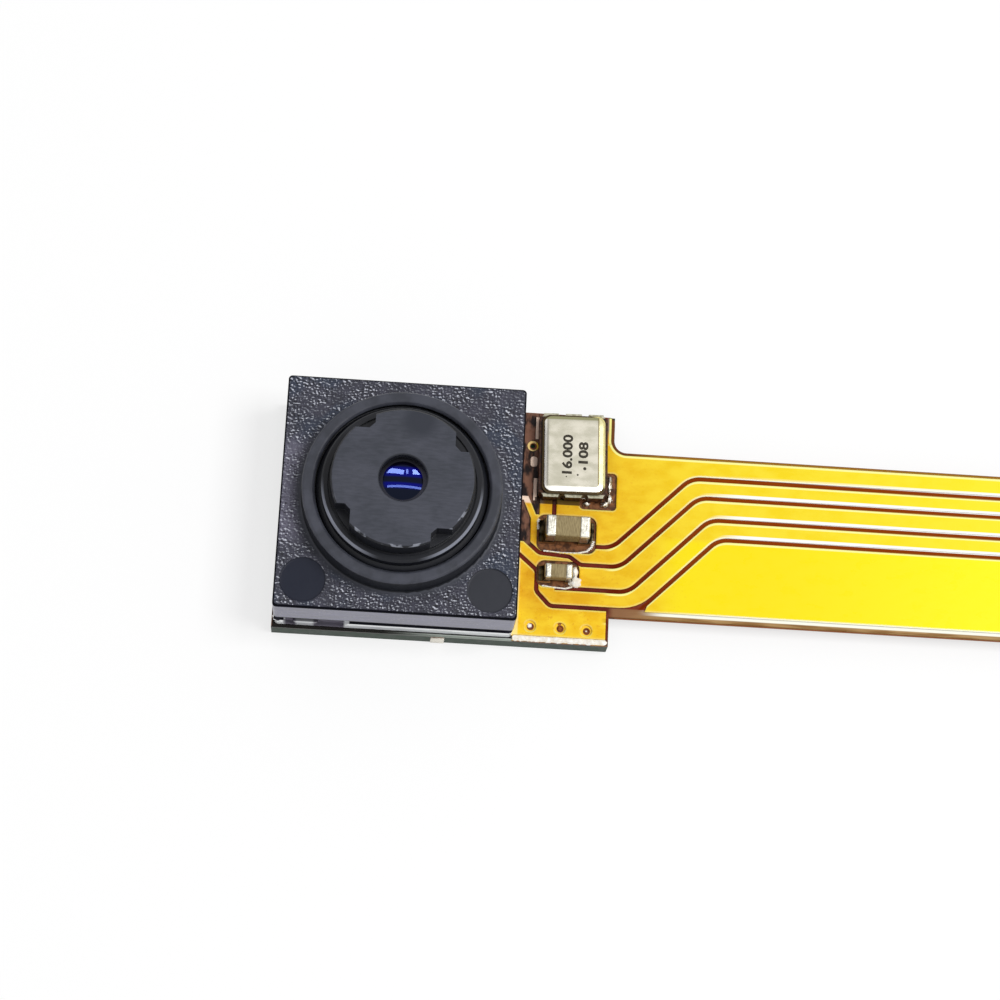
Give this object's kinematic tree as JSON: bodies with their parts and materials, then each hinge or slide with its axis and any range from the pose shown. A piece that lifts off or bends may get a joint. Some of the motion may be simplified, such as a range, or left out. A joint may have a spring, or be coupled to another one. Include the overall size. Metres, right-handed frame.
{
  "type": "camera module",
  "caption": "Square camera module with a screw-focus lens barrel in a black holder, a timing crystal and capacitors on a board head, and a flat flexible tail with bare contacts.",
  "frame": {"origin": "on the optical axis, at the underside of the rigid board", "axes": "+Z out of the lens along the optical axis, +X along the flexible tail, +Y across it"},
  "size_m": [0.0383, 0.0087, 0.0056],
  "materials": {
    "board_laminate": "dark green woven laminate with a solder mask",
    "base_film": "dark amber polyimide",
    "gold_plating": "gold plate over copper",
    "cover_film": "glossy yellow polyimide over copper",
    "solder": "bright rounded solder",
    "holder_plastic": "black mineral-filled plastic with a sparkling grain",
    "pale_adhesive": "pale set adhesive",
    "barrel_plastic": "black plastic with a fine matt face",
    "coated_glass": "coated front element with a deep blue sheen",
    "lens_plastic": "clear moulded lens plastic",
    "black_foil": "matt black",
    "filter_glass": "coated filter glass",
    "silicon": "dark polished silicon",
    "package_ceramic": "dark fired ceramic",
    "seal_metal": "pale gold plate",
    "lid_metal": "warm silver plate, satin",
    "quartz": "clear quartz with thin electrodes",
    "capacitor_ceramic": "brown grey fired ceramic",
    "tin_plating": "bright tin",
    "end_film": "thick amber polyimide"
  },
  "bodies": {
    "housing": {"rigid_board": "board_laminate", "flex_base_film": "base_film", "copper_conductors": "gold_plating", "component_pads": "gold_plating", "coverlay": "cover_film", "via_rings": "gold_plating", "tail_stiffener": "end_film", "edge_solder": "solder", "lens_holder": "holder_plastic", "holder_adhesive": "pale_adhesive", "infrared_filter": "filter_glass", "sensor_chip": "silicon", "sensor_cover_glass": "filter_glass", "sensor_solder_balls": "solder", "crystal_base": "package_ceramic", "crystal_seal_ring": "seal_metal", "crystal_lid": "lid_metal", "quartz_blank": "quartz", "crystal_solder": "solder", "large_capacitor_body": "capacitor_ceramic", "large_capacitor_ends": "tin_plating", "small_capacitor_body": "capacitor_ceramic", "small_capacitor_ends": "tin_plating", "capacitor_solder": "solder"},
    "lens_stack": {"front_lens": "coated_glass", "aperture_stop": "black_foil", "middle_lens": "lens_plastic", "spacer_ring": "black_foil", "rear_lens": "lens_plastic", "retaining_ring": "black_foil"},
    "barrel": {"lens_barrel": "barrel_plastic"}
  },
  "joints": [
    {"name": "focus_travel", "type": "slide", "parent": "housing", "child": "lens_stack", "axis": [0, 0, 1], "range_m": [-0.00035, 0.00035]},
    {"name": "barrel_turn", "type": "hinge", "parent": "lens_stack", "child": "barrel", "pos_m": [0, 0, 0.004], "axis": [0, 0, 1], "range_deg": [-360, 360]}
  ],
  "couplings": [
    {"joint": "barrel_turn", "follows": "focus_travel", "rad_per_m": 17952}
  ]
}
